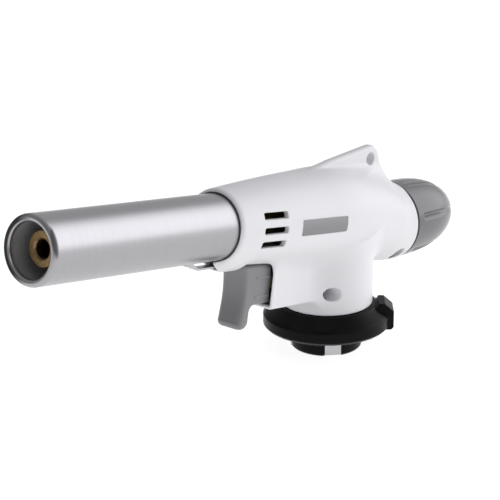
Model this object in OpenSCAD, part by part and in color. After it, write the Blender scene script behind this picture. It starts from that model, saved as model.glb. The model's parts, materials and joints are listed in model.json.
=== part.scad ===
// Butane torch head for nozzle type gas cartridges.
// The origin is the centre of the cartridge socket's mouth, at the foot of the black base.
// +Z points up out of the cartridge and the muzzle points towards -X, tilted upwards.

/* [Burner] */
// Outside diameter of the flame tube
tube_od = 20; // [19:0.5:21]
// Wall of the flame tube
tube_wall = 0.6; // [0.5:0.1:0.8]
// Distance of the muzzle ahead of the neck axis, along the barrel
muzzle_ahead = 131.6; // [125:0.2:138]
// Upward tilt of the barrel in degrees
barrel_tilt = 9.5; // [9:0.5:10]
// Height of the barrel axis where it crosses the neck axis
barrel_z = 44.7; // [44.3:0.1:45]
// Outside diameter of the brass burner nozzle
nozzle_od = 10.6; // [10.4:0.1:10.8]
// Diameter of the flame port in the burner nozzle
port_d = 5.3; // [4.5:0.1:6]

/* [Housing] */
// Wall thickness of the moulded shells
wall = 1.8; // [1.6:0.1:2]
// Outside diameter of the neck above the base
neck_d = 29.5; // [29:0.1:30]
// Width of the block that guides the trigger
block_w = 13.4; // [13:0.1:14]
// Thickness of the hanging fin
fin_t = 3.4; // [3:0.2:4]
// Diameter of the hanging hole
hang_d = 4; // [3:0.1:4.4]

/* [Trigger] */
// Width of the trigger
trigger_w = 9.4; // [9:0.1:9.6]

/* [Knob] */
// Length of the knob behind the housing
knob_len = 32; // [28:0.5:33]
// Radius of the knob at the housing
knob_r = 12.6; // [12.2:0.1:12.7]
// Number of grip grooves round the knob
grooves = 6; // [4:1:8]

/* [Base] */
// Diameter of the base disc
disc_d = 40.6; // [40:0.2:42]
// Diameter of the boss that enters the cartridge's cup
boss_d = 22.6; // [22.4:0.1:23]
// Diameter of the socket inside the boss
socket_d = 16.4; // [16:0.1:17]
// Diameter of the inlet bore for the cartridge's valve stem
inlet_d = 4.1; // [4.05:0.05:4.2]

/* [Hidden] */
$fn = 96;
eps = 0.01;

tube_r = tube_od / 2;
neck_r = neck_d / 2;
boss_r = boss_d / 2;
disc_r = disc_d / 2;
socket_r = socket_d / 2;

// Stations along the barrel, measured back from the neck axis, and heights above its axis
muzzle_s = -muzzle_ahead;
rim_s = -55.8;
tube_end_s = -49.6;
vent_s = -41;
vent_len = 10;
plate_s = -19.2;
plate_len = 21;
plate_h = 5;
plate_t = 0.6;
block_front_s = -32.6;
block_floor_n = -26.7;
slide_roof_n = -12.1;
slide_floor_n = -25.5;
way_half = 6;
nozzle_s = muzzle_s + 5;
mixer_r = 4.5;
electrode_n = -7.3;
piezo_n = -19.25;

// The rear axis, which the knob turns on, starts at the centre of the seam with the knob
seam_x = 32.4;
seam_z = 34.0;
rear_tilt = 5.5;
seam_gap = 0.7;
spindle_r = 1.5;

// Heights of the base
neck_z = 15;
disc_low_z = 7;
disc_rim_z = 11.4;
spigot_top_z = 19;
floor_z = 8;
floor_top_z = 12;

// Directions of the bayonet claws and of the screws between them
claw_angles = [0, 131, 229];
claw_screw_angles = [60, 300];
claw_screw_r = 8.2;

// The thumb tab's direction, reach and width
tab_angle = -50;
tab_out = 21.5;
tab_w = 9;

// The inlet's mouth, its seal, and the top of the cup in the valve block that takes it
inlet_z = 8.1;
seal_z = 12;
seal_r = 2.45;
seal_t = 1;
cup_top_z = 26;

// Screws that join the shells: [x, z]
screw_places = [[-10.3, 22.2], [26.3, 25.7]];
screw_seat = 4;

// The hanging hole, and the centre of the fin's rounded tip: [x, z]
hang_place = [20.2, 58];
fin_tip = [20.4, 57.3];
fin_tip_r = 5;

// Route of the ignition lead in the barrel's own frame: [along, height above the axis]
wire_r = 0.7;
wire_route = [
    [-60, -7.3], [-57, -7.3], [-54, -7.4], [-51, -7.8], [-48, -8.3], [-45, -8.7], [-42, -8.8],
    [-38, -8.8], [-34, -8.8], [-30, -8.8], [-26, -8.9], [-23, -9.3], [-20.6, -10.2],
    [-18.6, -11.5], [-17.2, -12.9], [-16.4, -14]
];

// Local frames

module along_barrel() {
    translate([0, 0, barrel_z]) rotate([0, barrel_tilt, 0]) children();
}

module along_rear() {
    translate([seam_x, 0, seam_z]) rotate([0, rear_tilt, 0]) children();
}

// A solid of revolution about the local X axis, from points [radius, station]
module lathe(points) {
    rotate([0, 90, 0]) rotate_extrude() polygon(points);
}

// A round rod along the local X axis from station a to station b
module rod(r, a, b) {
    translate([a, 0, 0]) rotate([0, 90, 0]) cylinder(r = r, h = b - a);
}

// A tube along the local X axis
module pipe(r_out, r_in, a, b) {
    difference() {
        rod(r_out, a, b);
        rod(r_in, a - 1, b + 1);
    }
}

// An outline of [station, height] given thickness w across Y
module slab(w) {
    rotate([90, 0, 0]) linear_extrude(height = w, center = true) children();
}

// A box from its low corner to its high corner
module block(low, high) {
    translate(low) cube(high - low);
}

// Housing form

// The barrel's profile: [radius, station]
barrel_form = [
    [0, rim_s], [11.3, rim_s], [11.7, -50], [12.6, -39], [13.3, -32], [13.9, -24], [14.6, -12],
    [15, -2], [15, 1], [0, 1]
];

// From the barrel to the knob's seam; grow is 0 outside and -wall inside

module shoulder(grow) {
    hull() {
        along_barrel() rod(14.9 + grow, -3, 1.4, $fn = 64);
        along_barrel() translate([0, 0, -0.8]) rod(14 + grow, 10, 13, $fn = 64);
        along_rear() rod(12.7 + grow, -5, 0, $fn = 64);
    }
}

module block_form() {
    along_barrel() block([block_front_s, -block_w / 2, block_floor_n], [-2, block_w / 2, -6]);
}

module chin() {
    along_barrel() translate([0, 0, -7]) lathe([
        [0, rim_s], [4, rim_s], [6.2, rim_s + 1.4], [7, rim_s + 3.6], [7, -47], [0, -47]
    ]);
}

module fin_form() {
    slab(fin_t) {
        translate(fin_tip) circle(r = fin_tip_r);
        polygon([
            [-12, 57.6], [-9.5, 60.8], [-5, 61.7], [fin_tip[0], fin_tip[1] + fin_tip_r],
            [fin_tip[0] + 4.87, fin_tip[1] + 1.1], [27.2, 50.2], [28.6, 46.7], [25, 40], [-4, 50]
        ]);
    }
}

module housing_outside() {
    along_barrel() lathe(barrel_form);
    shoulder(0);
    translate([0, 0, neck_z]) cylinder(r = neck_r, h = 24);
    block_form();
    chin();
    fin_form();
}

module housing_inside() {
    along_barrel() {
        lathe([
            [0, rim_s - 1], [tube_r + 0.25, rim_s - 1], [tube_r + 0.25, -53], [tube_r + 0.03, -53],
            [tube_r + 0.03, -49.4], [10.4, -48.4], [10.8, -39], [12.1, -24], [12.8, -12], [13.2, -2],
            [13.2, 0.5], [0, 0.5]
        ]);
        block([block_front_s + 1.4, -way_half, slide_floor_n], [-2, way_half, -6]);
    }
    shoulder(-wall);
    translate([0, 0, neck_z - 1]) cylinder(r = neck_r - wall, h = 24);
}

module vents() {
    along_barrel() for (n = [4.5, 0.1, -4.2]) {
        translate([vent_s, 0, n]) block([-vent_len / 2, -20, -1], [vent_len / 2, 20, 1]);
    }
}

module trigger_way() {
    along_barrel() block([-46.5, -way_half, slide_floor_n], [block_front_s + 2, way_half, slide_roof_n]);
}

// Bulkheads and cradles that hold the gas train, joined to the shells
module inner_ribs() {
    intersection() {
        housing_outside();
        union() {
            along_rear() pipe(14, 6.6, -2, 0);
            along_rear() pipe(16, 6.53, -19, -17.4);
            along_barrel() block([-18.6, -6, -26], [-13, 6, -13]);
            for (p = screw_places) {
                translate([p[0], 0, p[1]]) rotate([90, 0, 0]) cylinder(r = 3, h = 40, center = true);
            }
        }
    }
}

module rib_cuts() {
    along_barrel() block([-30, -3.23, -23.53], [-9, 3.23, -14.97]);
    along_barrel() block([-18, -1.2, -15.1], [-14, 1.2, -11]);
    along_barrel() rod(mixer_r + 0.8, -60, -10);
    cylinder(r = 7.2, h = 40);
}

module screw_holes() {
    for (p = screw_places) {
        translate([p[0], 0, p[1]]) rotate([90, 0, 0]) {
            translate([0, 0, screw_seat]) cylinder(d = 4.4, h = 20);
            cylinder(d = 2.8, h = 20);
            translate([0, 0, -6.5]) cylinder(d = 2.2, h = 7);
        }
    }
}

module shell(side) {
    intersection() {
        difference() {
            union() {
                difference() {
                    housing_outside();
                    housing_inside();
                }
                difference() {
                    inner_ribs();
                    rib_cuts();
                }
            }
            vents();
            trigger_way();
            screw_holes();
            bracket_slot();
            plate_recess();
            translate([hang_place[0], 0, hang_place[1]]) rotate([90, 0, 0])
                cylinder(d = hang_d, h = 10, center = true);
        }
        block([-80, side > 0 ? 0 : -40, 0], [60, side > 0 ? 40 : 0, 80]);
    }
}

module bracket_slot() {
    along_barrel() block([rim_s - 1, -1.7, -12.9], [-46, 1.7, -10]);
}

module near_shell() {
    color([0.93, 0.93, 0.95]) shell(-1);
}

module far_shell() {
    color([0.91, 0.91, 0.93]) shell(1);
}

// The plate follows the housing's curve and taper, and stands a little proud of its recess
module plate_form(depth, extra) {
    front_r = 13.4;
    rear_r = 15;
    reach = 13;
    along_barrel() intersection() {
        lathe([
            [front_r - depth, plate_s - reach], [front_r + extra, plate_s - reach],
            [rear_r + extra, plate_s + reach], [rear_r - depth, plate_s + reach]
        ]);
        translate([plate_s, 0, 0.1]) block(
            [-plate_len / 2 - extra, -20, -plate_h / 2 - extra],
            [plate_len / 2 + extra, -5, plate_h / 2 + extra]
        );
    }
}

module plate_recess() {
    plate_form(plate_t + eps, 0.04);
}

module name_plate() {
    color([0.52, 0.52, 0.54]) plate_form(plate_t, 0);
}

module shell_screws() {
    color([0.7, 0.7, 0.72]) for (p = screw_places) {
        translate([p[0], 0, p[1]]) rotate([90, 0, 0]) {
            difference() {
                translate([0, 0, screw_seat + 0.02]) cylinder(d = 4, h = 1.6);
                translate([0, 0, screw_seat + 0.8]) block([-1.3, -0.3, 0], [1.3, 0.3, 2]);
                translate([0, 0, screw_seat + 0.8]) block([-0.3, -1.3, 0], [0.3, 1.3, 2]);
            }
            translate([0, 0, -6]) cylinder(d = 2.1, h = 10.2);
        }
    }
}

// Burner

module flame_tube() {
    lip = 1.1;
    color([0.75, 0.75, 0.77]) along_barrel() difference() {
        union() {
            pipe(tube_r, tube_r - tube_wall, muzzle_s + lip, tube_end_s);
            rotate([0, 90, 0]) translate([0, 0, muzzle_s + lip]) rotate_extrude()
                translate([tube_r - lip, 0]) circle(r = lip, $fn = 48);
        }
        rod(0.8, -62, -60);
    }
}

module tube_bracket() {
    low_n = -12.4;
    color([0.8, 0.8, 0.82]) along_barrel() slab(2.8) polygon([
        [-67.6, -tube_r - 0.03], [-67.6, -tube_r - 0.7], [-65.4, -tube_r - 0.8], [-63.4, low_n + 0.3],
        [-62, low_n], [-47.5, low_n], [-47.5, low_n + 0.7], [-61.6, low_n + 0.7], [-62.6, low_n + 0.9],
        [-64.8, -tube_r - 0.03]
    ]);
}

module burner_nozzle() {
    r = nozzle_od / 2;
    port_r = port_d / 2;
    back_s = nozzle_s + 18;
    color([0.62, 0.45, 0.2]) along_barrel() lathe([
        [port_r + 0.5, nozzle_s], [r - 0.5, nozzle_s], [r, nozzle_s + 0.5], [r, back_s - 0.6],
        [r - 0.4, back_s], [mixer_r + 0.02, back_s], [mixer_r + 0.02, back_s - 4],
        [mixer_r - 0.7, back_s - 4], [mixer_r - 0.7, nozzle_s + 3], [port_r, nozzle_s + 2],
        [port_r, nozzle_s + 0.5]
    ]);
}

module mixer_tube() {
    color([0.72, 0.58, 0.3]) along_barrel() difference() {
        pipe(mixer_r, 4, nozzle_s + 14.02, -12.02);
        translate([-24, 0, 0]) cylinder(r = 2, h = 20, center = true);
        translate([-24, 0, 0]) rotate([90, 0, 0]) cylinder(r = 2, h = 20, center = true);
    }
}

module tube_spider() {
    hub_s = nozzle_s + 24;
    color([0.6, 0.6, 0.62]) along_barrel() difference() {
        union() {
            pipe(5.5, mixer_r + 0.02, hub_s, hub_s + 4);
            pipe(tube_r - tube_wall - 0.03, 8.7, hub_s, hub_s + 4);
            for (a = [0, 120, 240]) {
                rotate([a, 0, 0]) block([hub_s, -0.4, 5], [hub_s + 4, 0.4, 9]);
            }
        }
        translate([0, 0, electrode_n]) rod(1.65, hub_s - 1, hub_s + 5);
    }
}

module gas_jet() {
    color([0.8, 0.62, 0.25]) along_barrel() difference() {
        union() {
            translate([-18, 0, 0]) rotate([0, 90, 0]) cylinder(r = 3.6, h = 3.98, $fn = 6);
            rod(1.9, -20, -17);
            rod(2.47, -14.1, -8.4);
        }
        rod(0.4, -21, -7);
        rod(1.2, -17, -7);
    }
}

module electrode_insulator() {
    color([0.95, 0.93, 0.88]) along_barrel() translate([0, 0, electrode_n]) pipe(1.6, 0.52, -118, -62);
}

module ignition_electrode() {
    color([0.55, 0.55, 0.56]) along_barrel() translate([0, 0, electrode_n]) rod(0.5, -125, -60.02);
}

// One ring of the lead's skin: the route lies in the barrel's plane of symmetry
function wire_dir(i) = wire_route[min(i + 1, len(wire_route) - 1)] - wire_route[max(i - 1, 0)];
function wire_ring(i) = [
    for (k = [0:7])
        let (d = wire_dir(i) / norm(wire_dir(i)), a = 45 * k)
        [
            wire_route[i][0] - wire_r * cos(a) * d[1],
            wire_r * sin(a),
            wire_route[i][1] + wire_r * cos(a) * d[0]
        ]
];

module ignition_wire() {
    n = len(wire_route);
    points = [for (i = [0:n - 1]) each wire_ring(i)];
    sides = [
        for (i = [0:n - 2], k = [0:7])
            [8 * i + k, 8 * i + (k + 1) % 8, 8 * (i + 1) + (k + 1) % 8, 8 * (i + 1) + k]
    ];
    ends = [[for (k = [7:-1:0]) k], [for (k = [0:7]) 8 * (n - 1) + k]];
    color([0.75, 0.12, 0.1]) along_barrel() polyhedron(points, concat(sides, ends));
}

// Trigger and piezo igniter

// Points on an arc about c, from angle a to angle b
function arc(c, r, a, b, n) = [for (i = [0:n]) c + r * [cos(a + (b - a) * i / n), sin(a + (b - a) * i / n)]];

module trigger_side() {
    finger = [-68.2, -21.8];
    finger_r = 24.7;
    polygon(concat(
        [[-25, -12.4], [-45.4, -12.4]],
        arc(finger, finger_r, 22.2, -17, 16),
        arc([-42.7, -29.5], 2.3, 200, 262, 5),
        arc([-42.4, -29.4], 2.7, 275, 350, 6),
        [[-39.7, -27.3]],
        arc([-37.7, -27.2], 2, 175, 90, 5),
        [[-25, -25.2]]
    ));
}

module trigger_plan() {
    corner = 3;
    half = trigger_w / 2;
    front = -45.5;
    polygon([
        [front + corner, -half], [-20, -half], [-20, half], [front + corner, half],
        [front, half - corner], [front, corner - half]
    ]);
    for (side = [-1, 1]) {
        translate([front + corner, side * (half - corner)]) circle(r = corner);
    }
}

// Behind its finger piece only a floor rail is left, with a rib on each side that runs along the block
module trigger() {
    rib_half = way_half - 0.25;
    back_s = -20;
    color([0.55, 0.55, 0.57]) along_barrel() difference() {
        union() {
            intersection() {
                slab(trigger_w) trigger_side();
                translate([0, 0, -40]) linear_extrude(height = 40) trigger_plan();
            }
            block([-30.2, -rib_half, -25.1], [-25, rib_half, -24.2]);
        }
        block([-32.2, -3.5, -23.9], [back_s, 3.5, -14.4]);
        slab(3 * trigger_w) polygon([[-31.2, -23.9], [-32, -11], [back_s, -11], [back_s, -23.9]]);
    }
}

module piezo_case() {
    color([0.2, 0.2, 0.22]) along_barrel() difference() {
        union() {
            block([-27, -3.2, -23.5], [-10.6, 3.2, -15]);
            translate([-16.4, 0, -15.1]) cylinder(r = 0.7, h = 0.6);
        }
        translate([0, 0, piezo_n]) rod(2.65, -28, -14);
    }
}

module piezo_plunger() {
    color([0.85, 0.8, 0.5]) along_barrel() translate([0, 0, piezo_n]) {
        rod(2.6, -32.18, -26);
        rod(1.2, -26.1, -19);
    }
}

// The return spring as separate turns between two end turns
module piezo_spring() {
    turns = 8;
    pitch = 1.5;
    color([0.7, 0.7, 0.7]) along_barrel() translate([0, 0, piezo_n]) rotate([0, 90, 0])
        for (i = [0:turns - 1]) {
            translate([0, 0, -25.7 + pitch * i]) rotate_extrude() translate([1.9, 0]) circle(r = 0.25, $fn = 16);
        }
}

// Gas valve

module valve_block() {
    color([0.62, 0.63, 0.65]) difference() {
        union() {
            translate([0, 0, 20]) cylinder(r = 6.5, h = 16);
            along_rear() rod(6.5, -39, -13);
            along_barrel() rod(5.2, -12, 3);
            along_barrel() rod(3.97, -14, -11.9);
        }
        translate([0, 0, 19]) cylinder(r = 4.53, h = cup_top_z - 19);
        translate([0, 0, 20]) cylinder(r = 1, h = 24.5);
        along_barrel() rod(2.5, -15, -8);
        along_barrel() rod(1, -9, 0);
        along_rear() rod(3.03, -22, -12);
        along_rear() rod(0.9, -36, -21);
        along_rear() rod(1.7, -26, -21);
    }
}

module inlet_nipple() {
    color([0.78, 0.6, 0.26]) difference() {
        union() {
            translate([0, 0, inlet_z]) cylinder(r = 4.47, h = cup_top_z - inlet_z);
            translate([0, 0, floor_top_z + 0.02]) cylinder(r = 6.4, h = 2.4, $fn = 6);
        }
        translate([0, 0, inlet_z - 1]) cylinder(d = inlet_d, h = seal_z - inlet_z + 1);
        translate([0, 0, seal_z]) cylinder(r = seal_r, h = seal_t);
        translate([0, 0, seal_z]) cylinder(r = 1, h = 20);
    }
}

module inlet_seal() {
    color([0.1, 0.1, 0.1]) translate([0, 0, seal_z]) difference() {
        cylinder(r = seal_r, h = seal_t);
        translate([0, 0, -1]) cylinder(r = 0.8, h = 3);
    }
}

module needle_spindle() {
    color([0.82, 0.66, 0.3]) along_rear() lathe([
        [0, -23.4], [0.5, -22.6], [spindle_r, -20.8], [spindle_r, -19.6], [1, -19.6], [1, -18.2],
        [spindle_r, -18.2], [spindle_r, 14], [0, 14]
    ]);
}

module spindle_oring() {
    color([0.12, 0.12, 0.12]) along_rear() rotate([0, 90, 0]) translate([0, 0, -14.4]) rotate_extrude()
        translate([2.28, 0]) circle(r = 0.72, $fn = 32);
}

module gland_nut() {
    color([0.8, 0.62, 0.28]) along_rear() difference() {
        union() {
            translate([-12.98, 0, 0]) rotate([0, 90, 0]) cylinder(r = 5.6, h = 5, $fn = 6);
            rod(4, -8.1, 3);
        }
        rod(spindle_r + 0.04, -14, 4);
        pipe(5, 3.5, 0.6, 1.6);
    }
}

// Knob

function knob_radius(t) = knob_r * pow(1 - pow(t, 3), 0.55);

module knob() {
    steps = 24;
    flute_r = 3.2;
    groove_turn = 14;
    first = seam_gap / knob_len;
    color([0.55, 0.55, 0.57]) along_rear() difference() {
        lathe(concat(
            [[0, seam_gap]],
            [for (i = [0:steps - 1]) let (t = first + (0.995 - first) * sin(90 * i / steps))
                [knob_radius(t), t * knob_len]],
            [[0, knob_len]]
        ));
        for (i = [0:grooves - 1]) {
            rotate([360 / grooves * i + groove_turn, 0, 0]) translate([5.5, 0, 12 + flute_r])
                rotate([0, 11.5, 0]) rod(flute_r, 0, 30);
        }
        difference() {
            lathe([[0, seam_gap - 1], [10.8, seam_gap - 1], [10.8, 9], [9, 16], [0, 16]]);
            pipe(6.4, 4.15, seam_gap, 17);
            rod(4.2, 4, 17);
        }
        rod(spindle_r + 0.04, 0, 17);
    }
}

module knob_clip() {
    color([0.75, 0.75, 0.78]) along_rear() pipe(3.95, 3.54, 0.65, 1.55);
}

// Base

module base_profile() {
    polygon([
        [socket_r, 0], [boss_r - 0.6, 0], [boss_r, 0.6], [boss_r + 0.2, 3.2], [boss_r + 0.8, 4.9],
        [boss_r + 2, 6.3], [boss_r + 3.8, disc_low_z], [disc_r - 1, disc_low_z], [disc_r, disc_low_z + 1],
        [disc_r, disc_rim_z - 0.4], [disc_r - 0.7, disc_rim_z + 0.4], [neck_r + 1.6, neck_z - 0.9],
        [neck_r + 0.9, neck_z - 0.3], [neck_r - 0.6, neck_z - 0.02], [neck_r - wall - 0.1, neck_z],
        [neck_r - wall - 0.1, spigot_top_z], [10, spigot_top_z], [10, floor_top_z], [4.6, floor_top_z],
        [4.6, floor_z],
        [socket_r, floor_z]
    ]);
}

// The squared thumb tab on the rim, chamfered at the top

module thumb_tab() {
    rotate([0, 0, tab_angle]) slab(tab_w) polygon([
        [16.2, 9], [17.6, disc_low_z - 0.6], [tab_out - 0.8, disc_low_z - 0.6], [tab_out, disc_low_z + 0.2],
        [tab_out, 12.6], [18.6, 15.2], [16.8, 15.2], [16.2, 14]
    ]);
}

module claw_pocket(extra) {
    for (a = claw_angles) {
        rotate([0, 0, a]) block([boss_r - 1.3 - extra, -2.65 - extra, -1], [boss_r + 2, 2.65 + extra, 4.3]);
        rotate([0, 0, a]) block([boss_r - 1.3 - extra, -2.65 - extra, 4], [boss_r - 0.5 + extra, 2.65 + extra, 12.4]);
        rotate([0, 0, a]) block([8, -2.65 - extra, 11.9], [boss_r - 0.5 + extra, 2.65 + extra, 13.2]);
    }
}

module lock_base() {
    color([0.08, 0.08, 0.09]) difference() {
        union() {
            rotate_extrude() base_profile();
            thumb_tab();
        }
        claw_pocket(0.02);
        for (a = claw_screw_angles) {
            rotate([0, 0, a]) translate([claw_screw_r, 0, 9]) cylinder(d = 1.8, h = 4);
        }
    }
}

// A flat ring on the base's floor, whose legs pass down to the foot of the boss and turn outward
module claw_plate() {
    color([0.78, 0.78, 0.8]) difference() {
        union() {
            translate([0, 0, floor_top_z + 0.02]) cylinder(r = 9.9, h = 1);
            for (a = claw_angles) {
                rotate([0, 0, a]) {
                    block([boss_r - 1.3, -2.6, 0.6], [boss_r - 0.5, 2.6, 12.5]);
                    block([boss_r - 1.3, -2.6, 0.6], [boss_r + 0.15, 2.6, 4.2]);
                    block([8, -2.6, floor_top_z + 0.02], [boss_r - 0.5, 2.6, floor_top_z + 1.02]);
                }
            }
        }
        translate([0, 0, 11]) cylinder(r = 6.5, h = 4);
        for (a = claw_screw_angles) {
            rotate([0, 0, a]) translate([claw_screw_r, 0, 11]) cylinder(d = 2.1, h = 4);
        }
    }
}

module claw_screws() {
    color([0.6, 0.6, 0.62]) for (a = claw_screw_angles) {
        rotate([0, 0, a]) translate([claw_screw_r, 0, 0]) {
            translate([0, 0, 9.3]) cylinder(d = 1.78, h = 4);
            difference() {
                translate([0, 0, 13.04]) cylinder(d = 3.2, h = 1.2);
                translate([0, 0, 13.7]) block([-1.3, -0.25, 0], [1.3, 0.25, 1]);
            }
        }
    }
}

near_shell();
far_shell();
name_plate();
shell_screws();
flame_tube();
tube_bracket();
burner_nozzle();
mixer_tube();
tube_spider();
gas_jet();
electrode_insulator();
ignition_electrode();
ignition_wire();
trigger();
piezo_case();
piezo_plunger();
piezo_spring();
valve_block();
inlet_nipple();
inlet_seal();
gland_nut();
spindle_oring();
needle_spindle();
knob();
knob_clip();
lock_base();
claw_plate();
claw_screws();
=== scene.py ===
"""A butane torch head on a pale studio floor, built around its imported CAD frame.

Shapes are worked out in millimetres and turned into metres when a mesh is made. The moulded parts are
distance fields, meshed by net(), so that their walls, fillets and openings run into each other as they
do in one moulding. Turned parts are lathes.
"""

import json
import math

import bpy
import numpy as np
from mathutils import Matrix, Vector


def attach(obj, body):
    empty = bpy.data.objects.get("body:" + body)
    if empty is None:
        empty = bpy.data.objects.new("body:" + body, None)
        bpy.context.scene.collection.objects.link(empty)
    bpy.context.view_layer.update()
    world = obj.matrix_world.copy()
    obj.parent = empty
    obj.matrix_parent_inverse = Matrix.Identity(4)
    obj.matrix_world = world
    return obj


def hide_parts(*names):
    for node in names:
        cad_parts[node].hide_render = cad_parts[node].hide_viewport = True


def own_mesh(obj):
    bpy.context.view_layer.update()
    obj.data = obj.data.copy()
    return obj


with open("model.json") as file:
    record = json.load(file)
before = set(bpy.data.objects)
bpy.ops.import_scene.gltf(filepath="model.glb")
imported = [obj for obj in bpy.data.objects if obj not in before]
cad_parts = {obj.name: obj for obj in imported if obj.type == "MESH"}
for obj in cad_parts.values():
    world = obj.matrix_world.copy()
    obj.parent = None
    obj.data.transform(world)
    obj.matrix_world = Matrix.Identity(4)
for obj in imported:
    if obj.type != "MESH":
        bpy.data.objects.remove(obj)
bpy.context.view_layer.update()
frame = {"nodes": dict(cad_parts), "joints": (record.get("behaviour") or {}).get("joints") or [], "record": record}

MM = 0.001
JOINTS = {joint["name"]: joint for joint in frame["joints"]}


# Local frames: x runs along an axis in the plane of symmetry, z is square to it, y is the world's

class Axes:
    """A local frame in millimetres, from its origin and the direction of its x axis."""

    def __init__(self, origin, direction):
        self.origin = np.array(origin, float)
        self.x = np.array(direction, float) / np.linalg.norm(direction)
        self.z = np.array([-self.x[2], 0, self.x[0]])

    def local(self, points):
        p = points - self.origin
        return np.stack([p @ self.x, p[:, 1], p @ self.z], 1)

    def world(self, points):
        x, y, z = points.T
        return self.origin + x[:, None] * self.x + y[:, None] * [0, 1, 0] + z[:, None] * self.z


def span(node, axes):
    """Lowest and highest corner of a CAD node in a local frame, in millimetres."""
    points = np.array([v.co for v in frame["nodes"][node].data.vertices]) / MM
    local = axes.local(points)
    return local.min(0), local.max(0)


def barrel_axes():
    """The barrel's frame: its x axis is the flame tube's, and starts where that crosses the neck axis."""
    direction = JOINTS["trigger_press"]["axis"]
    low, high = span("flame_tube", Axes((0, 0, 0), direction))
    height = (low[2] + high[2]) / 2 / direction[0]
    return Axes((0, 0, height), direction)


upright = Axes((0, 0, 0), (1, 0, 0))
barrel = barrel_axes()
rear = Axes([c / MM for c in JOINTS["knob_turn"]["pos_m"]], JOINTS["knob_turn"]["axis"])
tilt = math.atan2(-barrel.x[2], barrel.x[0])

tube_low, tube_high = span("flame_tube", barrel)
nozzle_low, nozzle_high = span("burner_nozzle", barrel)
plate_low, plate_high = span("name_plate", barrel)
knob_low, knob_high = span("knob", rear)
trigger_low, trigger_high = span("trigger", barrel)
base_low, base_high = span("lock_base", upright)

# Housing sizes in millimetres. Places along the barrel are in its own frame, and so are heights there

WALL = 1.8
BARREL_R = 15.0
RIM = -55.8                   # front edge of the housing, along the barrel
SEAM_R = 12.7                 # at the knob's seam
NECK_R = 14.75
NECK_LOW, NECK_HIGH = 15.0, 38

# The block behind the trigger, and the way in it that the trigger slides in
BLOCK_FRONT, BLOCK_FLOOR, BLOCK_HALF = -32.6, -26.7, 6.7
SLIDE_ROOF, SLIDE_FLOOR, WAY_HALF = -12.1, -25.5, 6.0

# Places in the plane of symmetry: along X from the neck's axis, and up from the foot
SCREWS = [(-10.3, 22.2), (26.3, 25.7)]
HANG = (20.2, 58.0)
FIN_TIP = (20.4, 57.3)

# The igniter's axis, as a height in the barrel's frame
PIEZO = -19.25


# Distance fields

def union(a, b, blend):
    """The nearer of two solids, with a fillet about as large as blend where they meet."""
    if np.ndim(blend) == 0 and blend == 0:
        return np.minimum(a, b)
    h = np.clip(0.5 + 0.5 * (b - a) / blend, 0, 1)
    return b + (a - b) * h - blend * h * (1 - h)


def common(a, b, blend):
    """What two solids share."""
    return -union(-a, -b, blend)


def cut(a, b, blend):
    """The first solid without the second."""
    return -union(-a, b, blend)


def box_field(points, low, high, radius):
    """A box from its low to its high corner, with rounded edges."""
    low, high = np.array(low, float), np.array(high, float)
    q = np.abs(points - (low + high) / 2) - (high - low) / 2 + radius
    outside = np.linalg.norm(np.maximum(q, 0), axis=1)
    return outside + np.minimum(q.max(1), 0) - radius


def eased_step(t):
    """From 0 to 1 with a level start and end."""
    return t * t * (3 - 2 * t)


def polygon_field(u, v, corners):
    """Distance to an outline in a plane, negative inside it."""
    best = np.full(u.shape, np.inf)
    sign = np.ones(u.shape)
    for (au, av), (bu, bv) in zip(corners, corners[1:] + corners[:1]):
        eu, ev = bu - au, bv - av
        pu, pv = u - au, v - av
        t = np.clip((pu * eu + pv * ev) / (eu * eu + ev * ev), 0, 1)
        best = np.minimum(best, (pu - t * eu) ** 2 + (pv - t * ev) ** 2)
        above, below, left = pv >= 0, v < bv, eu * pv > ev * pu
        flip = (above & below & left) | (~above & ~below & ~left)
        sign = np.where(flip, -sign, sign)
    return sign * np.sqrt(best)


def eased(xs, ys, reach):
    """A line through points with its corners eased over reach on both sides, as a fine table."""
    spacing, samples = 0.1, 61
    fine = np.arange(xs[0] + reach, xs[-1] - reach, spacing)
    offsets = np.linspace(-reach, reach, samples)
    weights = np.cos(offsets / reach * math.pi / 2)
    return fine, sum(w * np.interp(fine + d, xs, ys) for w, d in zip(weights, offsets)) / weights.sum()


def arc(centre, radius, start, end, count):
    """Points along an arc, from its start to its end angle in degrees."""
    angles = np.radians(np.linspace(start, end, count))
    return [(centre[0] + radius * math.cos(a), centre[1] + radius * math.sin(a)) for a in angles]


# Meshing

def gradient(field, points):
    """How fast a field grows along each axis."""
    small = 0.02
    result = np.zeros_like(points)
    for axis in range(3):
        step = np.zeros(3)
        step[axis] = small
        result[:, axis] = (field(points + step) - field(points - step)) / (2 * small)
    return result


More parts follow.
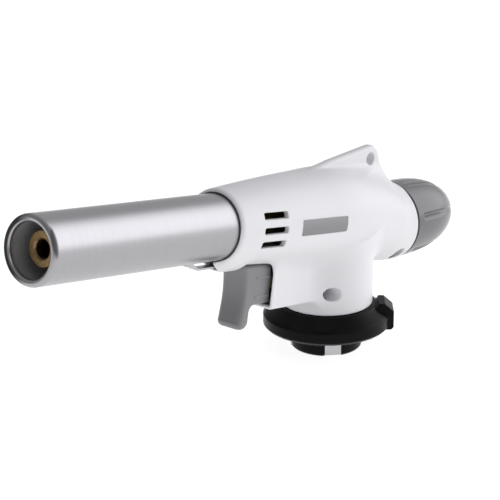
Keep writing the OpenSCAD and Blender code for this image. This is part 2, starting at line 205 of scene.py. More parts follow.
def net(field, low, high, step, half=False):
    """Vertices, quads, normals and a mask of flat faces for the surface where field is 0.

    Each cell that the surface crosses gets one vertex, which is then drawn onto the surface. With half
    the solid is also cut at y = 0 with a sharp edge, and y > 0 is kept."""
    axes = [np.arange(a, b + step, step) for a, b in zip(low, high)]
    if half:
        axes[1] = (np.arange(int(high[1] / step) + 2) - 0.5) * step
    grid = np.stack(np.meshgrid(*axes, indexing="ij"), -1)
    shape = np.array(grid.shape[:3])
    raw = field(grid.reshape(-1, 3)).reshape(shape)
    value = np.maximum(raw, -grid[..., 1]) if half else raw
    cells, points, quads = [], [], []
    strides = np.array([shape[1] * shape[2], shape[2], 1])
    for axis in range(3):
        first = np.take(value, np.arange(shape[axis] - 1), axis)
        second = np.take(value, np.arange(1, shape[axis]), axis)
        where = np.argwhere((first < 0) != (second < 0))
        a, b = first[tuple(where.T)], second[tuple(where.T)]
        point = grid[tuple(where.T)].copy()
        point[:, axis] += step * a / (a - b)
        u, v = (axis + 1) % 3, (axis + 2) % 3
        around = []
        for du, dv in ((0, 0), (1, 0), (1, 1), (0, 1)):
            cell = where.copy()
            cell[:, u] -= du
            cell[:, v] -= dv
            around.append(cell @ strides)
            points.append(point)
        around = np.stack(around, 1)
        cells.append(around.T.reshape(-1))
        quads.append(np.where((a < 0)[:, None], around, around[:, ::-1]))
    cells, points, quads = np.concatenate(cells), np.concatenate(points), np.concatenate(quads)
    names, place = np.unique(cells, return_inverse=True)
    count = np.bincount(place)
    verts = np.stack([np.bincount(place, points[:, i]) / count for i in range(3)], 1)
    quads = np.searchsorted(names, quads)
    on_cut = (names // strides[1]) % shape[1] == 0 if half else np.zeros(len(names), bool)
    verts[on_cut, 1] = 0
    passes, near, farthest, least_slope, tiny = 3, 0.8 * step, 0.5 * step, 0.05, 1e-9
    edge = ~on_cut | (np.abs(field(verts)) < near)
    for _ in range(passes):
        distance, slope = field(verts), gradient(field, verts)
        slope[on_cut, 1] = 0
        move = -(distance / np.maximum((slope ** 2).sum(1), least_slope))[:, None] * slope
        length = np.linalg.norm(move, axis=1, keepdims=True)
        move *= np.minimum(1, farthest / np.maximum(length, tiny))
        verts[edge] += move[edge]
    normals = gradient(field, verts)
    normals /= np.maximum(np.linalg.norm(normals, axis=1, keepdims=True), tiny)
    return verts, quads, normals, on_cut[quads].all(1)


def new_mesh(name, verts, faces, axes=upright):
    """A mesh object from points in millimetres in a local frame."""
    mesh = bpy.data.meshes.new(name)
    mesh.from_pydata((axes.world(np.asarray(verts, float)) * MM).tolist(), [], [list(f) for f in faces])
    mesh.update()
    mesh.shade_smooth()
    piece = bpy.data.objects.new(name, mesh)
    bpy.context.scene.collection.objects.link(piece)
    return piece


def set_normals(piece, normals, axes, flat=None, flat_normal=None):
    """Gives each corner the normal of its vertex, or one normal on the flat faces."""
    mesh = piece.data
    turned = axes.world(normals + 0.0) - axes.origin
    corner = np.zeros(len(mesh.loops), np.int32)
    mesh.loops.foreach_get("vertex_index", corner)
    loop_normals = turned[corner]
    if flat is not None:
        sizes = np.zeros(len(mesh.polygons), np.int32)
        mesh.polygons.foreach_get("loop_total", sizes)
        loop_normals[np.repeat(flat, sizes)] = flat_normal
    mesh.normals_split_custom_set(loop_normals.tolist())


def net_piece(name, field, low, high, step, axes=upright):
    """A mesh object of the solid where a field in a local frame is negative."""
    verts, quads, normals, _ = net(field, low, high, step)
    piece = new_mesh(name, verts, quads, axes)
    set_normals(piece, normals, axes)
    return piece


def rounded(corners, radius, steps):
    """A closed outline with its corners rounded, and the outward normal at each point.

    The corners run with the solid on their left. A corner may carry its own radius as a third value."""
    points, normals = [], []
    count = len(corners)
    for i in range(count):
        here = np.array(corners[i][:2], float)
        before = np.array(corners[i - 1][:2], float) - here
        after = np.array(corners[(i + 1) % count][:2], float) - here
        room = min(np.linalg.norm(before), np.linalg.norm(after)) / 2
        before /= np.linalg.norm(before)
        after /= np.linalg.norm(after)
        n1 = np.array([-before[1], before[0]])
        n2 = np.array([after[1], -after[0]])
        half_turn = math.acos(np.clip(n1 @ n2, -1, 1)) / 2
        wanted = corners[i][2] if len(corners[i]) > 2 else radius
        if wanted <= 0 or half_turn < 0.01:
            points += [here, here]
            normals += [n1, n2]
            continue
        reach = min(wanted * math.tan(half_turn), 0.98 * room)
        real = reach / math.tan(half_turn)
        outward = np.sign(n1[0] * n2[1] - n1[1] * n2[0])
        for k in range(steps + 1):
            t = k / steps
            n = n1 * math.sin((1 - t) * 2 * half_turn) + n2 * math.sin(t * 2 * half_turn)
            n /= np.linalg.norm(n)
            centre = here + before * reach - outward * real * n1
            points.append(centre + outward * real * n)
            normals.append(n)
    return np.array(points), np.array(normals)


def lathe(name, corners, axes, radius, segments, steps):
    """A closed solid of revolution about a local x axis, from corners (x, radius)."""
    points, normals = rounded(corners, radius, steps)
    turns = np.linspace(0, 2 * math.pi, segments, endpoint=False)
    c, s = np.cos(turns), np.sin(turns)
    count = len(points)
    verts = np.stack([np.tile(points[:, 0], segments), np.outer(c, points[:, 1]).ravel(),
                      np.outer(s, points[:, 1]).ravel()], 1)
    lit = np.stack([np.tile(normals[:, 0], segments), np.outer(c, normals[:, 1]).ravel(),
                    np.outer(s, normals[:, 1]).ravel()], 1)
    faces = []
    for i in range(count):
        j = (i + 1) % count
        if np.linalg.norm(points[i] - points[j]) < 1e-6:
            continue
        for k in range(segments):
            m = (k + 1) % segments
            faces.append((k * count + i, k * count + j, m * count + j, m * count + i))
    piece = new_mesh(name, verts, faces, axes)
    set_normals(piece, lit, axes)
    return piece


# Materials

def nodes_of(name, color):
    """A new material, its node tree and its shader."""
    material = bpy.data.materials.new(name)
    material.use_nodes = True
    material.diffuse_color = (*color, 1)
    tree = material.node_tree
    return material, tree, tree.nodes["Principled BSDF"]


def add(tree, kind, inputs=None, **settings):
    """A new node; an input may be a value or another node's socket."""
    node = tree.nodes.new(kind)
    for key, value in settings.items():
        setattr(node, key, value)
    usable = [socket for socket in node.inputs if socket.enabled]
    for key, value in (inputs or {}).items():
        socket = node.inputs[key] if isinstance(key, int) else next(s for s in usable if s.name == key)
        if isinstance(value, bpy.types.NodeSocket):
            tree.links.new(value, socket)
        else:
            socket.default_value = value
    return node


def output_of(node, name):
    """The output in use, on a node that has several of one name."""
    return next(socket for socket in node.outputs if socket.enabled and socket.name == name)


def place(tree, scale, turn):
    """Object coordinates, turned about Y and scaled."""
    coordinates = add(tree, "ShaderNodeTexCoord")
    turned = add(tree, "ShaderNodeMapping", {"Vector": coordinates.outputs["Object"],
                                             "Rotation": (0, turn, 0)})
    scaled = add(tree, "ShaderNodeMapping", {"Vector": turned.outputs["Vector"], "Scale": scale})
    return scaled.outputs["Vector"]


def noise(tree, scale, detail, turn=0.0):
    """Noise with so many waves per metre along each axis."""
    return add(tree, "ShaderNodeTexNoise", {"Vector": place(tree, scale, turn), "Scale": 1.0,
                                            "Detail": detail}).outputs["Fac"]


def two_tone(tree, factor, low, high):
    """One colour where the factor is low and another where it is high."""
    ramp = add(tree, "ShaderNodeValToRGB", {"Fac": factor})
    for element, color, position in zip(ramp.color_ramp.elements, (low, high), (0.3, 0.7)):
        element.color = (*color, 1)
        element.position = position
    return ramp.outputs["Color"]


def ramped(tree, value, start, stop, low, high):
    """A value carried from start..stop to low..high, and held beyond both."""
    return add(tree, "ShaderNodeMapRange", {"Value": value, "From Min": start, "From Max": stop,
                                            "To Min": low, "To Max": high}).outputs["Result"]


def spread(tree, value, middle, reach):
    """Noise, most of which lies from a quarter to three quarters, carried to reach about a middle."""
    return ramped(tree, value, 0.25, 0.75, middle - reach, middle + reach)


def bump(tree, shader, height, strength, depth):
    """Roughens the surface by a height from 0 to 1, where 1 is a depth in millimetres."""
    node = add(tree, "ShaderNodeBump", {"Height": height, "Strength": strength, "Distance": depth * MM})
    tree.links.new(node.outputs["Normal"], shader.inputs["Normal"])


def tints(color, change):
    """A colour made darker and lighter by a share of itself."""
    return [tuple(min(1.0, c * factor) for c in color) for factor in (1 - change, 1 + change)]


def plastic(name, color, roughness, grain, grain_depth, mottle=0.03, specular=0.5):
    """Moulded plastic: a spark-eroded grain, slow drifts in shade and gloss."""
    material, tree, shader = nodes_of(name, color)
    slow = noise(tree, (60, 60, 60), 3)
    fine = noise(tree, (grain, grain, grain), 2)
    tree.links.new(two_tone(tree, slow, *tints(color, mottle)), shader.inputs["Base Color"])
    tree.links.new(spread(tree, slow, roughness, 0.04), shader.inputs["Roughness"])
    bump(tree, shader, fine, 0.25, grain_depth)
    shader.inputs["Specular IOR Level"].default_value = specular
    return material


def brushed(name, color, roughness, scale, turn, streak=0.06, depth=0.004):
    """Metal with fine lines: scale is large across the lines and small along them."""
    material, tree, shader = nodes_of(name, color)
    lines = noise(tree, scale, 6, turn)
    slow = noise(tree, (25, 25, 25), 2)
    tree.links.new(two_tone(tree, lines, *tints(color, streak)), shader.inputs["Base Color"])
    tree.links.new(spread(tree, slow, roughness, 0.03), shader.inputs["Roughness"])
    bump(tree, shader, lines, 0.2, depth)
    shader.inputs["Metallic"].default_value = 1.0
    return material


def arithmetic(tree, operation, a, b):
    return add(tree, "ShaderNodeMath", {0: a, 1: b}, operation=operation).outputs["Value"]


def product(tree, a, b):
    return arithmetic(tree, "MULTIPLY", a, b)


def vector_math(tree, operation, a, b, output="Vector"):
    return add(tree, "ShaderNodeVectorMath", {0: a, 1: b}, operation=operation).outputs[output]


def painted(tree, under, color, amount):
    """A colour laid over another, by an amount from 0 to 1."""
    mix = add(tree, "ShaderNodeMix", {"Factor": amount, "A": under, "B": (*color, 1)}, data_type="RGBA")
    return output_of(mix, "Result")


def tube_steel(color):
    """Brushed steel outside, dulled by the flame inside, with a painted dark reflection on the far half of the lip
    and a painted shadow on its near side.
    """
    material, tree, shader = nodes_of("tube_steel", color)
    lines = noise(tree, (4000, 40, 40), 6, -tilt)
    slow = noise(tree, (25, 25, 25), 2)

    # Where a point lies: along the barrel's axis, out from it, and across in y
    spot = add(tree, "ShaderNodeTexCoord").outputs["Object"]
    moved = vector_math(tree, "SUBTRACT", spot, tuple(barrel.origin * MM))
    along = vector_math(tree, "DOT_PRODUCT", moved, tuple(barrel.x), "Value")
    across = vector_math(tree, "CROSS_PRODUCT", moved, tuple(barrel.x))
    ring = vector_math(tree, "LENGTH", across, (0, 0, 0), "Value")
    y = add(tree, "ShaderNodeSeparateXYZ", {"Vector": spot}).outputs["Y"]
    start, wall_r = tube_low[0], tube_high[2] - 0.45

    def fade(value, none, full):
        """From 0 at one place to 1 at another, both in millimetres."""
        return ramped(tree, value, none * MM, full * MM, 0, 1)

    inside = product(tree, fade(ring, wall_r, wall_r - 0.2), fade(along, start + 1, start + 2.5))
    lip = product(tree, fade(along, start + 2.6, start + 1.6), fade(ring, wall_r - 1.4, wall_r - 1.1))
    # Painted dark reflection: the far half of the lip is coloured near black
    painted_dark = product(tree, fade(y, 0, 5), lip)

    # A smaller painted shadow on the plate's side of the lip, a little above the middle
    slant, shadow_strength = math.radians(25), 0.8
    toward = tuple(barrel.z * math.sin(slant) - np.array([0, 1, 0]) * math.cos(slant))
    reach = vector_math(tree, "DOT_PRODUCT", moved, toward, "Value")
    painted_shadow = product(tree, fade(reach, 8.8, 9.4), fade(along, start + 1.6, start + 0.8))
    painted_dark = arithmetic(tree, "MAXIMUM", painted_dark, product(tree, painted_shadow, shadow_strength))

    clean = two_tone(tree, lines, *tints(color, 0.035))
    dulled = painted(tree, clean, (0.68, 0.68, 0.7), inside)
    # Where the dark reflection and shadow are painted, the steel turns near black, rough and not metallic
    tree.links.new(painted(tree, dulled, (0.02, 0.02, 0.022), painted_dark), shader.inputs["Base Color"])
    rough = arithmetic(tree, "ADD", spread(tree, slow, 0.32, 0.03), product(tree, inside, 0.3))
    rough = arithmetic(tree, "ADD", rough, product(tree, painted_dark, 0.5))
    tree.links.new(rough, shader.inputs["Roughness"])
    metal = product(tree, ramped(tree, inside, 0, 1, 1.0, 0.25), ramped(tree, painted_dark, 0, 1, 1.0, 0.0))
    tree.links.new(metal, shader.inputs["Metallic"])
    bump(tree, shader, lines, 0.15, 0.004)
    return material


# A plastic has its colour, its roughness, its grain in waves per metre and the grain's depth in
# millimetres, then how far its shade drifts and how strongly it reflects. A brushed metal has its colour,
# its roughness, its lines' waves per metre along each axis and their turn, then their streaks and depth.
MATERIALS = {
    "white_plastic": plastic("white_plastic", (0.76, 0.76, 0.785), 0.36, 3500, 0.01, 0.012),
    "plate_grey": brushed("plate_grey", (0.27, 0.27, 0.28), 0.45, (3000, 300, 3000), -tilt, 0.05),
    "zinc_steel": brushed("zinc_steel", (0.55, 0.55, 0.57), 0.35, (1500, 1500, 1500), 0.0),
    "tube_steel": tube_steel((0.4, 0.4, 0.415)),
    "bright_steel": brushed("bright_steel", (0.5, 0.5, 0.515), 0.3, (400, 3000, 400), -tilt),
    "black_steel": brushed("black_steel", (0.035, 0.035, 0.037), 0.5, (1500, 1500, 1500), 0.0, 0.15),
    "burner_brass": brushed("burner_brass", (0.29, 0.195, 0.095), 0.45, (1200, 1200, 1200), 0.0, 0.2),
    "turned_brass": brushed("turned_brass", (0.72, 0.53, 0.22), 0.3, (2500, 300, 300), 0.0),
    "ceramic_white": plastic("ceramic_white", (0.85, 0.83, 0.77), 0.2, 2500, 0.004),
    "wire_red": plastic("wire_red", (0.6, 0.05, 0.04), 0.45, 2500, 0.006),
    "grey_plastic": plastic("grey_plastic", (0.21, 0.21, 0.217), 0.42, 3500, 0.014),
    "knob_plastic": plastic("knob_plastic", (0.155, 0.155, 0.162), 0.2, 3500, 0.005),
    "dark_plastic": plastic("dark_plastic", (0.03, 0.03, 0.035), 0.4, 3000, 0.01, 0.1),
    "plunger_plastic": plastic("plunger_plastic", (0.7, 0.62, 0.35), 0.4, 3000, 0.01),
    "cast_zinc": brushed("cast_zinc", (0.42, 0.43, 0.45), 0.5, (900, 900, 900), 0.0, 0.1, 0.02),
    "black_rubber": plastic("black_rubber", (0.02, 0.02, 0.02), 0.6, 3000, 0.01, 0.1),
    "black_plastic": plastic("black_plastic", (0.004, 0.004, 0.0045), 0.3, 3500, 0.01, 0.1, 0.08),
}


def finish_piece(piece, slot, body, node):
    """Gives a piece its material and its body, and lets it stand for its CAD node."""
    piece.data.materials.append(MATERIALS[slot])
    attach(piece, body)
    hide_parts(node)


def dress_cad():
    """Gives the CAD nodes that stay on show the finish of their slot."""
    for row in frame["record"]["subparts"]:
        mesh = frame["nodes"][row["node"]].data
        mesh.materials.clear()
        mesh.materials.append(MATERIALS[row["material_slot"]])


# Housing

# Fields take points in the world's frame as p, the barrel's as b and the knob's as r

def barrel_radius(along):
    """The barrel narrows towards its rim, and the more the nearer it gets."""
    start, taper, curve = -2, 0.037, 0.00059
    ahead = np.maximum(start - along, 0)
    return BARREL_R - taper * ahead - curve * ahead ** 2


# Heights of the centre line, and radii about it, from the barrel to the knob's seam
STATIONS = [-30, 0, 14, 30, 60]
STATION_EASE = 9
CENTRE_X, CENTRE_Z = eased(STATIONS, [49.72, 44.7, 40.6, 34.23, 31.36], STATION_EASE)
RADIUS_X, RADIUS = eased(STATIONS, [BARREL_R, BARREL_R, 14.1, SEAM_R, SEAM_R], STATION_EASE)
FLATTEN = 1 / np.hypot(1, np.gradient(CENTRE_Z, CENTRE_X))


def mixed(a, b, value, start, length):
    """From a to b, as a value goes over a length from its start."""
    return a + (b - a) * eased_step(np.clip((value - start) / length, 0, 1))


def body_field(p, b, r):
    """The barrel and the shoulder as one sweep of circles along a falling centre line."""
    front = np.hypot(b[:, 1], b[:, 2]) - barrel_radius(b[:, 0])
    x = p[:, 0]
    height = (p[:, 2] - np.interp(x, CENTRE_X, CENTRE_Z)) * np.interp(x, CENTRE_X, FLATTEN)
    back = np.hypot(p[:, 1], height) - np.interp(x, RADIUS_X, RADIUS)
    seam = np.hypot(r[:, 1], r[:, 2]) - SEAM_R

    # The barrel runs over into the shoulder, and that into the round seam
    body = mixed(front, back, x, -16, 18)
    body = mixed(body, seam, r[:, 0], -9, 8)
    rim_round, seam_round = 1.8, 0.8
    return common(common(body, RIM - b[:, 0], rim_round), r[:, 0], seam_round)


def neck_field(p):
    body = np.hypot(p[:, 0], p[:, 1]) - NECK_R
    body = common(body, NECK_LOW - p[:, 2], 0.7)
    return common(body, p[:, 2] - NECK_HIGH, 0)


def chin_field(b):
    """The swelling under the rim that the strap goes into. It is bluntly rounded at the front."""
    chin_r, depth, blunt, end = 7, 7, 4.6, -47
    behind = np.clip(b[:, 0] - RIM, 0, blunt)
    radius = chin_r * np.sqrt(np.clip(1 - ((blunt - behind) / (blunt + 1)) ** 2, 0.05, 1))
    body = np.hypot(b[:, 1], b[:, 2] + depth) - radius
    return common(common(body, RIM - b[:, 0], 0.6), b[:, 0] - end, 0.4)


def fin_field(p):
    """The upright fin with the hanging hole in its tip."""
    tip_r, half, edge = 5, 1.7, 1.6
    outline = [(-16, 55), (-13, 60), (-9, 61.3), (0, 61.9), (10, 62.1)] + \
        arc(FIN_TIP, tip_r, 95, 12, 9) + [(27.2, 50.2), (28.6, 46.7), (25, 40), (-4, 48)]
    body = polygon_field(p[:, 0], p[:, 2], outline[::-1])
    return common(body, np.abs(p[:, 1]) - half, edge)


def outside_field(p, b, r):
    """The housing's outer surface, with a fine groove where the halves meet."""
    fin_fillet = 0.6 + 6.4 * np.clip((60 - p[:, 2]) / 5, 0, 1)
    body = union(body_field(p, b, r), fin_field(p), fin_fillet)
    body = union(body, chin_field(b), 2.5)
    block = box_field(b, (BLOCK_FRONT, -BLOCK_HALF, BLOCK_FLOOR), (0, BLOCK_HALF, -6), 0.9)
    neck_fillet = 4
    stem = union(neck_field(p), block, neck_fillet)
    line_depth, line_half = 0.12, 0.3
    parting_line = line_depth * np.clip(1 - np.abs(p[:, 1]) / line_half, 0, 1)
    return union(body, stem, neck_fillet) + parting_line


def inside_field(p, b, r, outside):
    """The cavity: the outside drawn in by the wall, and the bore that grips the flame tube."""
    tube_r = tube_high[2]
    mouth_end, grip_start, grip_end = -53, -53.2, -46
    across = np.hypot(b[:, 1], b[:, 2])
    grip = common(across - tube_r - 0.03, b[:, 0] - grip_end, 0)
    mouth = common(across - tube_r - 0.28, b[:, 0] - mouth_end, 0)
    cavity = common(outside + WALL, grip_start - b[:, 0], 0)
    cavity = union(cavity, union(grip, mouth, 0), 0)
    socket_top = 22
    socket = common(np.hypot(p[:, 0], p[:, 1]) - NECK_R + WALL, p[:, 2] - socket_top, 0)
    cavity = union(cavity, socket, 0)
    front_wall = 1.4
    slide = box_field(b, (BLOCK_FRONT + front_wall, -WAY_HALF, SLIDE_FLOOR), (-6, WAY_HALF, -8), 0.1)
    return union(cavity, slide, 0)


def ribs_field(p, b, r, outside):
    """Bulkheads and bosses that hold the gas train and take the screws."""
    ring = np.hypot(r[:, 1], r[:, 2])
    cradle = box_field(b, (-18.6, -6, -26), (-13, 6, -13), 0.2)
    ribs = cradle
    for place_along, half, bore in ((-1, 1, 6.6), (-18.2, 0.8, 6.53)):
        bulkhead = common(np.abs(r[:, 0] - place_along) - half, bore - ring, 0.2)
        ribs = union(ribs, bulkhead, 0)
    boss_r = 3
    for x, z in SCREWS:
        ribs = union(ribs, np.hypot(p[:, 0] - x, p[:, 2] - z) - boss_r, 0)
    piezo_room = box_field(b, (-30, -3.23, -23.53), (-9, 3.23, -14.97), 0)
    mixer_room = common(np.hypot(b[:, 1], b[:, 2]) - 5.3, b[:, 0] + 10, 0)
    inlet_room = common(np.hypot(p[:, 0], p[:, 1]) - 7.2, p[:, 2] - 40, 0)
    for room in (piezo_room, mixer_room, inlet_room):
        ribs = cut(ribs, room, 0)
    below_skin = 0.5
    return common(ribs, outside + below_skin, 0)


def openings_field(p, b, side):
    """Vents, the trigger's way, the bracket's slot, screw holes and the hanging hole."""
    through = 30
    way = box_field(b, (-46.5, -WAY_HALF, SLIDE_FLOOR), (BLOCK_FRONT + 2, WAY_HALF, SLIDE_ROOF), 0.1)
    strap_slot = box_field(b, (RIM - 2, -1.7, -12.9), (-46, 1.7, -10), 0.1)
    holes = union(way, strap_slot, 0)
    front, back, half, corner = -46, -36, 1, 0.45
    for height in (4.5, 0.1, -4.2):
        vent = box_field(b, (front, -through, height - half), (back, through, height + half), corner)
        holes = union(holes, vent, 0)
    hang_r = 2
    holes = union(holes, np.hypot(p[:, 0] - HANG[0], p[:, 2] - HANG[1]) - hang_r, 0)
    head_r, shank_r, thread_r, head_seat, thread_end = 2.2, 1.4, 1.1, 4, 6.5
    for x, z in SCREWS:
        across = np.hypot(p[:, 0] - x, p[:, 2] - z)
        if side < 0:
            holes = union(holes, common(across - head_r, head_seat - p[:, 1], 0), 0)
            holes = union(holes, across - shank_r, 0)
        else:
            holes = union(holes, common(across - thread_r, p[:, 1] - thread_end, 0), 0)
    return holes


def plate_field(b):
    """The name plate: a rounded rectangle bent to the barrel's form, a little proud of it."""
    across = np.hypot(b[:, 1], b[:, 2]) - barrel_radius(b[:, 0])
    middle, half = -0.18, 0.3
    window = box_field(b, (plate_low[0], -30, plate_low[2]), (plate_high[0], -2, plate_high[2]), 0.5)
    return common(window, np.abs(across - middle) - half, 0.08)


def shell_field(side):
    """One half of the housing, on y > 0: the near half is mirrored when it is meshed."""
    def field(local):
        points = barrel.world(local)
        r = rear.local(points)
        outside = outside_field(points, local, r)
        solid = cut(outside, inside_field(points, local, r, outside), 0.3)
        solid = union(solid, ribs_field(points, local, r, outside), 0.3)
        solid = cut(solid, openings_field(points, local, side), 0.35)
        return solid
    return field


def shell(name, side, step):
    """One half of the housing, where side is the sign of y."""
    low, high = (RIM - 2, 0, -33), (37, 16.5, 25)
    verts, quads, normals, flat = net(shell_field(side), low, high, step, half=True)
    mirror = np.array([1, side, 1])
    piece = new_mesh(name + "_moulding", verts * mirror, quads[:, ::side], barrel)
    set_normals(piece, normals * mirror, barrel, flat, (0, -side, 0))
    finish_piece(piece, "white_plastic", "housing", name)


# Turned and formed metal

def flame_tube():
    """A thin tube with its front edge rolled inwards."""
    tube_r, wall, lip = tube_high[2], 0.6, 1.1
    start, end = tube_low[0], tube_high[0]
    inner, roll = tube_r - wall, 2 * lip
    corners = [(start, tube_r - roll, lip), (start, tube_r, lip), (end, tube_r), (end, inner),
               (start + roll + wall, inner, 0.8), (start + roll, tube_r - roll, 0.9)]
    piece = lathe("flame_tube_steel", corners[::-1], barrel, 0.15, 256, 10)
    finish_piece(piece, "tube_steel", "housing", "flame_tube")


def burner_nozzle():
    """The burner head: a port at the front, and a socket at the back for the mixer tube."""
    start, end = nozzle_low[0], nozzle_high[0]
    r, port, bore, socket = nozzle_high[2], 2.65, 3.8, 4.52
    corners = [(start, port + 0.5, 0.1), (start, r, 0.5), (end, r, 0.4), (end, socket), (end - 4, socket),
               (end - 4, bore), (start + 3, bore), (start + 2, port), (start + 0.5, port, 0.1)]
    piece = lathe("burner_head", corners[::-1], barrel, 0.1, 128, 6)
    finish_piece(piece, "burner_brass", "housing", "burner_nozzle")


# Knob

def knob_radius(t, reach):
    """The knob's outline, blunt at the tip, where t goes from 0 at the seam to 1."""
    return reach * (1 - t ** 3) ** 0.55


def groove_depth(angles, stations, end):
    """Grip grooves: steep on one flank, with a step near the seam, and running out towards the tip."""
    grooves, first, deepest = 6, math.radians(44), 1.3
    steep, gentle = 0.06, 0.17
    phase = ((angles - first) / (2 * math.pi) * grooves + 0.5) % 1 - 0.5
    flank = np.clip(1 - np.abs(phase) / np.where(phase < 0, steep, gentle), 0, 1)
    step = np.clip((stations - 3.6) / 0.8, 0, 1)
    fade = np.clip((0.94 - stations / end) / 0.5, 0, 1)
    return deepest * np.outer(eased_step(step) * fade, eased_step(flank))


def knob():
    """A hollow bullet with grip grooves, a socket for the gland nut and a bore for the spindle."""
    tip_gap, around, along = 1.1, 480, 120
    start, end, reach = knob_low[0], knob_high[0] - tip_gap, knob_high[1]
    angles = np.linspace(0, 2 * math.pi, around, endpoint=False)
    t = start / end + (1 - start / end) * np.sin(np.linspace(0, math.pi / 2, along))[:-1]
    stations = t * end
    radius = np.maximum(knob_radius(t, reach)[:, None] - groove_depth(angles, stations, end), 0.05)
    skirt, hub, socket, bore, bore_end = 10.8, 6.4, 4.15, 1.54, 17
    inner = [(bore_end, bore), (4, bore), (4, socket), (start, socket), (start, hub), (16, hub), (16, 9),
             (9, skirt), (start, skirt)]
    rings = [(x, np.full(around, r)) for x, r in inner] + list(zip(stations, radius))
    verts = [(bore_end, 0, 0)]
    for x, r in rings:
        verts += [(x, q * math.cos(a), q * math.sin(a)) for q, a in zip(r, angles)]
    verts.append((end, 0, 0))
    faces = [(0, 1 + (k + 1) % around, 1 + k) for k in range(around)]
    for i in range(len(rings) - 1):
        a, b = 1 + i * around, 1 + (i + 1) * around
        for k in range(around):
            m = (k + 1) % around
            faces.append((a + k, a + m, b + m, b + k))
    last = 1 + (len(rings) - 1) * around
    faces += [(last + k, last + (k + 1) % around, len(verts) - 1) for k in range(around)]
    piece = new_mesh("knob_shell", verts, faces, rear)
    piece.data.set_sharp_from_angle(angle=math.radians(50))
    finish_piece(piece, "knob_plastic", "knob", "knob")


# Trigger

def trigger_field(b):
    """A finger lever with a concave front and a toe, hollow behind, with two ribs on each side."""
    finger = arc((-68.2, -21.8), 24.7, 22.2, -19, 16)
    toe = arc((-43.1, -30.2), 2.1, 185, 258, 8) + arc((-42.5, -29.6), 2.8, 272, 350, 7)
    heel = arc((-37.7, -27.2), 2, 175, 90, 6)
    roof, back = -12.4, -25
    outline = [(back, roof), (-45.4, roof)] + finger + toe + [(-39.7, -27.3)] + heel + [(back, -25.2)]
    side = polygon_field(b[:, 0], b[:, 2], outline)

    half, corner, front = 4.7, 3.0, -45.5
    u = np.maximum(front + corner - b[:, 0], 0)
    v = np.maximum(np.abs(b[:, 1]) - (half - corner), 0)
    plan = np.where(u > 0, np.hypot(u, v) - corner, np.abs(b[:, 1]) - half)
    body = common(side, plan, 1.8)

    hollow_half, hollow_floor, past_back = 3.5, -23.9, -18
    hollow = box_field(b, (-32.2, -hollow_half, hollow_floor), (past_back, hollow_half, -14.4), 0.1)
    behind = polygon_field(b[:, 0], b[:, 2], [(-31.2, hollow_floor), (past_back, hollow_floor),
                                              (past_back, -11), (-32, -11)])
    body = cut(body, union(hollow, behind, 0), 0.15)
    rail_half = trigger_high[1]
    rail = box_field(b, (-30.2, -rail_half, -25.1), (back, rail_half, -24.2), 0.2)
    body = union(body, rail, 0.1)
    rib_half, rib_height = half + 0.3, 0.9
    for height in (-16.4, -22.3):
        rib = box_field(b, (-38.6, -rib_half, height - rib_height / 2),
                        (-31.8, rib_half, height + rib_height / 2), 0.3)
        body = union(body, cut(rib, hollow, 0), 0.3)
    return common(body, b[:, 0] - back, 0.2)


def trigger():
    low, high = trigger_low - 1, trigger_high + 1
    piece = net_piece("trigger_lever", trigger_field, low, high, 0.3, barrel)
    finish_piece(piece, "grey_plastic", "trigger", "trigger")


# Small parts

def name_plate():
    piece = net_piece("name_plate_face", plate_field, (plate_low[0] - 1, -16, plate_low[2] - 1),
                      (plate_high[0] + 1, -11, plate_high[2] + 1), 0.15, barrel)
    finish_piece(piece, "plate_grey", "housing", "name_plate")


def bracket_field(b):
    """A strip bent down from the tube, then back along it into the housing."""
    low, thick, half = -12.4, 0.7, 1.4
    front, back, tube_side = -67.6, -47.5, -10.03
    outline = [(front, tube_side), (front, -10.7), (-65.4, -10.8), (-63.4, low + 0.3), (-62, low),
               (back, low), (back, low + thick), (-61.6, low + thick), (-62.6, low + 0.9), (-64.8, tube_side)]
    return common(polygon_field(b[:, 0], b[:, 2], outline), np.abs(b[:, 1]) - half, 0.2)


def tube_bracket():
    piece = net_piece("bracket_strap", bracket_field, (-68.5, -2, -13.2), (-46.5, 2, -9.2), 0.16, barrel)
    finish_piece(piece, "bright_steel", "housing", "tube_bracket")


def piezo_spring():
    """A helix round the plunger's stem."""
    front, back, coil_r, wire_r, turns = -25.7, -15.2, 1.9, 0.25, 8
    steps, sides = 24 * turns, 10
    verts, faces = [], []
    for i in range(steps + 1):
        a = 2 * math.pi * turns * i / steps
        for k in range(sides):
            w = 2 * math.pi * k / sides
            r = coil_r + wire_r * math.cos(w)
            along = front + (back - front) * i / steps + wire_r * math.sin(w)
            verts.append((along, r * math.cos(a), PIEZO + r * math.sin(a)))
    for i in range(steps):
        for k in range(sides):
            m = (k + 1) % sides
            faces.append((i * sides + k, i * sides + m, (i + 1) * sides + m, (i + 1) * sides + k))
    faces.append([*range(sides)][::-1])
    faces.append([steps * sides + k for k in range(sides)])
    piece = new_mesh("piezo_spring_coil", verts, faces, barrel)
    finish_piece(piece, "zinc_steel", "housing", "piezo_spring")
    anchor = barrel.world(np.array([[back + wire_r, 0, PIEZO]]))[0] * MM
    tuple(barrel.x)
    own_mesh(piece)


# Base

def turned_about_neck(p, degrees):
    """Points as seen from a direction: out from the neck's axis, sideways, and up."""
    a = math.radians(degrees)
    return np.stack([p[:, 0] * math.cos(a) + p[:, 1] * math.sin(a),
                     -p[:, 0] * math.sin(a) + p[:, 1] * math.cos(a), p[:, 2]], 1)


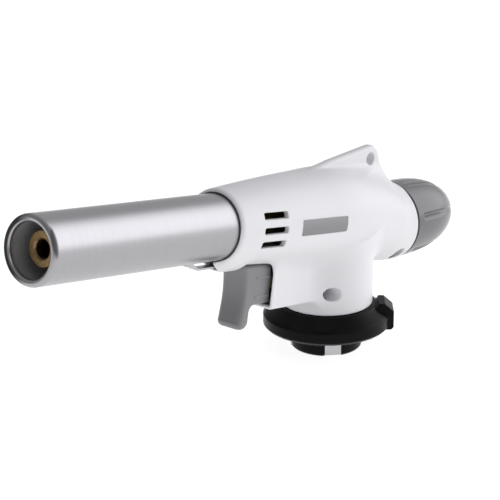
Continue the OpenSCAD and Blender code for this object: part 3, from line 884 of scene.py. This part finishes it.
def base_field(p):
    """A disc and a boss round the cartridge socket, with a thumb tab and three seats for the claws."""
    disc_r, socket_r, inlet_r, spigot_r, grow = base_high[1], 8.2, 4.6, 12.85, 0.05
    outline = [
        (socket_r, 0), (10.7, 0), (11.3, 0.6), (11.5, 3.2), (12.1, 4.9), (13.3, 6.3), (15.1, 7),
        (disc_r - 0.9, 7), (disc_r, 7.9), (disc_r, 11), (disc_r - 0.7, 11.8), (16.35, 14.1), (15.65, 14.7),
        (14.15, 14.98), (spigot_r, 15), (spigot_r, 19), (10, 19), (10, 12), (inlet_r, 12), (inlet_r, 8),
        (socket_r, 8)]
    body = polygon_field(np.hypot(p[:, 0], p[:, 1]), p[:, 2], outline) - grow

    q = turned_about_neck(p, -50)
    tab_half = 4.5
    tab = polygon_field(q[:, 0], q[:, 2], [(16.2, 9), (17.6, 6.4), (20.7, 6.4), (21.5, 7.2), (21.5, 12.6),
                                           (18.6, 15.2), (16.8, 15.2), (16.2, 14)])
    body = union(body, common(tab, np.abs(q[:, 1]) - tab_half, 0.5), 0.6)

    # A claw shows as a pad in the boss's flank. Its leg runs up behind the flank and turns inwards on top
    seats = [((9.98, -1), (13.3, 4.3)), ((9.98, 4), (10.82, 12.4)), ((8, 11.9), (10.82, 13.2))]
    seat_half = 2.67
    for degrees in (0, 131, 229):
        q = turned_about_neck(p, degrees)
        for (inner, bottom), (outer, top) in seats:
            body = cut(body, box_field(q, (inner, -seat_half, bottom), (outer, seat_half, top), 0), 0)
    return body


def lock_base():
    low, high = base_low - 1, base_high + 1
    piece = net_piece("lock_base_moulding", base_field, low, high, 0.36)
    finish_piece(piece, "black_plastic", "housing", "lock_base")


# Studio

def floor():
    """A pale floor just under the torch, lit from within so that it stays near white."""
    half, gap = 8.0, 0.0003
    mesh = bpy.data.meshes.new("floor")
    corners = [(-half, -half, 0), (half, -half, 0), (half, half, 0), (-half, half, 0)]
    mesh.from_pydata(corners, [], [(0, 1, 2, 3)])
    plane = bpy.data.objects.new("floor", mesh)
    plane.location.z = -gap
    bpy.context.scene.collection.objects.link(plane)
    material, tree, shader = nodes_of("floor", (0.9, 0.9, 0.9))
    looks = {"Base Color": (0.25, 0.25, 0.25, 1), "Roughness": 0.9, "Specular IOR Level": 0.0,
             "Emission Color": (1, 1, 1, 1), "Emission Strength": 0.93}
    for name, value in looks.items():
        shader.inputs[name].default_value = value
    mesh.materials.append(material)


def softbox(name, direction, width, height, radiance):
    """A lit panel that faces the torch from a direction."""
    middle, distance = Vector((-0.04, 0, 0.04)), 1.5
    lamp = bpy.data.lights.new(name, "AREA")
    lamp.shape = "RECTANGLE"
    lamp.size, lamp.size_y = width, height
    lamp.energy = radiance * math.pi * width * height
    away = Vector(direction).normalized()
    holder = bpy.data.objects.new(name, lamp)
    holder.location = middle + away * distance
    holder.rotation_euler = away.to_track_quat("Z", "Y").to_euler()
    bpy.context.scene.collection.objects.link(holder)


def studio():
    """A room that is dim ahead of the muzzle, with one broad glow behind the knob on the plate's side."""
    studio_world = bpy.data.worlds.new("studio")
    bpy.context.scene.world = studio_world
    studio_world.use_nodes = True
    tree = studio_world.node_tree
    direction = add(tree, "ShaderNodeTexCoord").outputs["Generated"]
    behind = add(tree, "ShaderNodeSeparateXYZ", {"Vector": direction}).outputs["X"]
    room = ramped(tree, behind, -1.0, 1.0, 0.2, 0.6)
    near = vector_math(tree, "DOT_PRODUCT", direction, (0.81, -0.49, 0.32), "Value")
    glow = add(tree, "ShaderNodeMapRange", {"Value": near, "From Min": 0.72, "From Max": 0.99,
                                            "To Min": 0.0, "To Max": 1.7}, interpolation_type="SMOOTHSTEP")
    background = tree.nodes["Background"]
    tree.links.new(arithmetic(tree, "ADD", room, glow.outputs["Result"]), background.inputs["Strength"])
    background.inputs["Color"].default_value = (1, 1, 1.02, 1)
    softbox("side", (-0.15, -1.0, 0.75), 1.2, 0.8, 0.8)
    softbox("fill", (0.4, -1.0, 0.1), 0.8, 0.8, 0.8)
    bpy.context.scene.view_settings.view_transform = "Standard"


def camera():
    """The view from the muzzle's side, a little above."""
    azimuth, elevation, roll = math.radians(-50), math.radians(19.07), math.radians(-0.16)
    distance, aim = 0.6072, Vector((-0.0381, 0, 0.0422))
    away = Vector((math.sin(azimuth) * math.cos(elevation), -math.cos(azimuth) * math.cos(elevation),
                   math.sin(elevation)))
    lens = bpy.data.cameras.new("camera")
    lens.lens, lens.sensor_width = 144.3, 36
    lens.clip_start, lens.clip_end = 0.01, 50
    holder = bpy.data.objects.new("camera", lens)
    holder.matrix_world = (-away).to_track_quat("-Z", "Y").to_matrix().to_4x4()
    holder.location = aim + away * distance
    holder.rotation_mode = "XYZ"
    holder.rotation_euler.rotate_axis("Z", roll)
    bpy.context.scene.collection.objects.link(holder)
    bpy.context.scene.camera = holder


camera()
studio()
floor()
dress_cad()
flame_tube()
burner_nozzle()
shell_step = 0.42
shell("near_shell", -1, shell_step)
shell("far_shell", 1, shell_step)
name_plate()
trigger()
tube_bracket()
piezo_spring()
lock_base()
knob()
